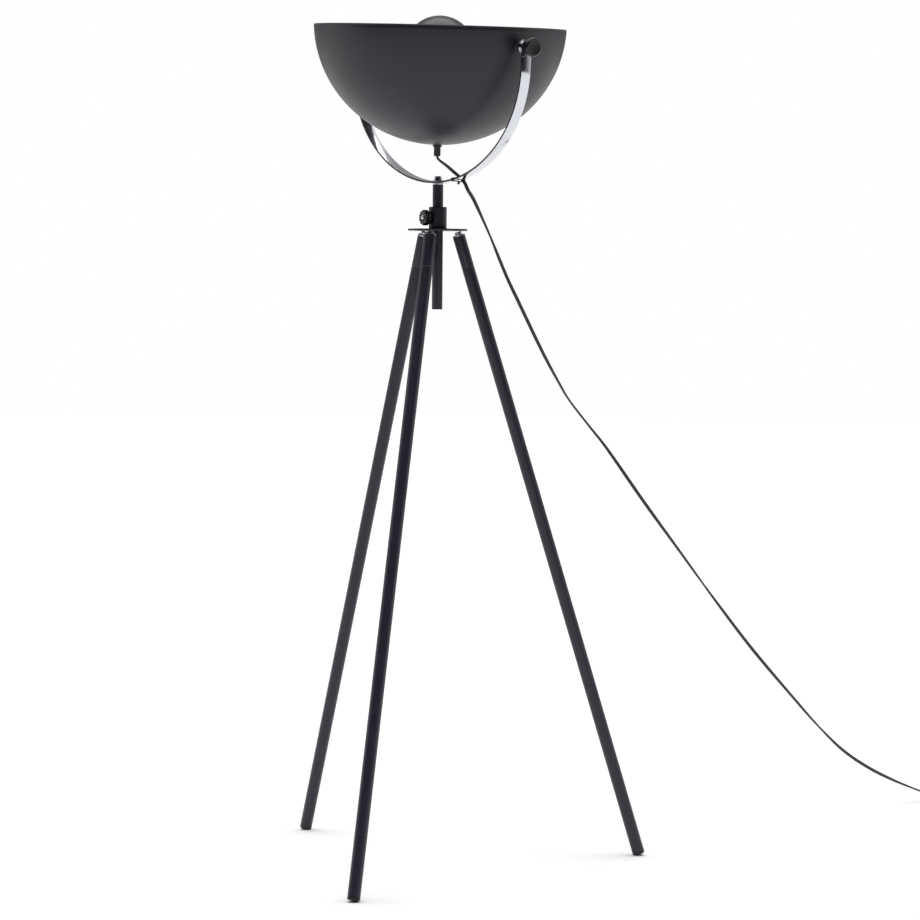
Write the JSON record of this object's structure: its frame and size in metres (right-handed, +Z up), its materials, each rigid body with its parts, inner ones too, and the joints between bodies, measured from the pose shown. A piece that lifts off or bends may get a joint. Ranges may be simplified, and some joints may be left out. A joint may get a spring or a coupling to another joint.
{
  "type": "tripod floor lamp",
  "caption": "Floor lamp with a round black bowl shade that tilts in a chrome yoke, on a height-adjustable pole over three splayed tube legs, with its mains lead.",
  "frame": {"origin": "on the floor, where the axis of the pole meets it, midway between the three feet", "axes": "+Z up along the pole; the first leg points 10 degrees round from +X toward +Y"},
  "size_m": [1.2099, 0.9586, 1.2835],
  "materials": {
    "black_coat": "satin powder coat",
    "shade_coat": "matte powder coat",
    "inner_coat": "matte",
    "chrome": "polished",
    "zinc": "zinc plated",
    "cast_zinc": "as machined",
    "black_plastic": "satin moulded",
    "gloss_plastic": "semi-gloss moulded",
    "cord_jacket": "satin PVC",
    "tie_nylon": "satin",
    "glass": "frosted",
    "brass": "nickel plated"
  },
  "bodies": {
    "stand": {"hub_plate": "black_coat", "collar": "black_coat", "leg_studs": "zinc", "leg_inserts": "zinc", "leg_right": "black_coat", "leg_left": "black_coat", "leg_front": "black_coat", "foot_right": "black_plastic", "foot_left": "black_plastic", "foot_front": "black_plastic", "cord_lead": "cord_jacket", "cord_tail": "cord_jacket", "cord_coil": "cord_jacket", "cord_end": "cord_jacket", "coil_tie": "tie_nylon", "switch_base": "black_plastic", "switch_cover": "black_plastic", "plug_body": "black_plastic", "plug_pins": "brass"},
    "clamp": {"clamp_screw": "zinc", "clamp_knob": "gloss_plastic"},
    "mast": {"pole": "black_coat", "pole_cap": "black_plastic", "pole_insert": "cast_zinc", "pole_washer": "chrome", "yoke_screw": "chrome", "yoke_screw_washer": "chrome", "cord_drop": "cord_jacket"},
    "fork": {"yoke": "chrome", "friction_washers": "chrome", "outer_washers": "chrome", "cable_tie": "tie_nylon", "cord_neck": "cord_jacket"},
    "head": {"shade_bowl": "shade_coat", "pivot_bosses": "shade_coat", "pivot_studs": "zinc", "inner_washers": "chrome", "cord_gland": "black_plastic", "gland_nut": "brass", "shield_carrier": "inner_coat", "shield_rods": "inner_coat", "shield_dome": "inner_coat", "lampholder_base": "black_plastic", "lampholder_shell": "black_plastic", "bulb_cap": "brass", "bulb_glass": "glass"},
    "right_knob": {"knob_right": "gloss_plastic"},
    "left_knob": {"knob_left": "gloss_plastic"},
    "button": {"switch_button": "black_plastic"}
  },
  "joints": [
    {"name": "height_slide", "type": "slide", "parent": "stand", "child": "mast", "axis": [0, 0, 1], "range_m": [-0.03, 0.11], "deforming": ["cord_lead"]},
    {"name": "head_pan", "type": "hinge", "parent": "mast", "child": "fork", "pos_m": [0, 0, 1.03227], "axis": [0, 0, 1], "range_deg": [-90, 90], "deforming": ["cord_drop"]},
    {"name": "shade_tilt", "type": "hinge", "parent": "fork", "child": "head", "pos_m": [0.00119, -0.00147, 1.23785], "axis": [0.6281, -0.7757, -0.061], "range_deg": [-45, 45], "deforming": ["cord_neck"]},
    {"name": "knob_right_turn", "type": "hinge", "parent": "head", "child": "right_knob", "pos_m": [0.00119, -0.00147, 1.23785], "axis": [0.6281, -0.7757, -0.061], "range_deg": [0, 360]},
    {"name": "knob_left_turn", "type": "hinge", "parent": "head", "child": "left_knob", "pos_m": [0.00119, -0.00147, 1.23785], "axis": [-0.6281, 0.7757, 0.061], "range_deg": [0, 360]},
    {"name": "clamp_knob_turn", "type": "hinge", "parent": "stand", "child": "clamp", "pos_m": [0, 0, 0.98037], "axis": [-0.848, -0.5299, 0], "range_deg": [0, 360]},
    {"name": "switch_press", "type": "slide", "parent": "stand", "child": "button", "axis": [0, 0, -1], "range_m": [0, 0.0025], "stiffness_N_per_m": 300, "springref_m": -0.003}
  ]
}
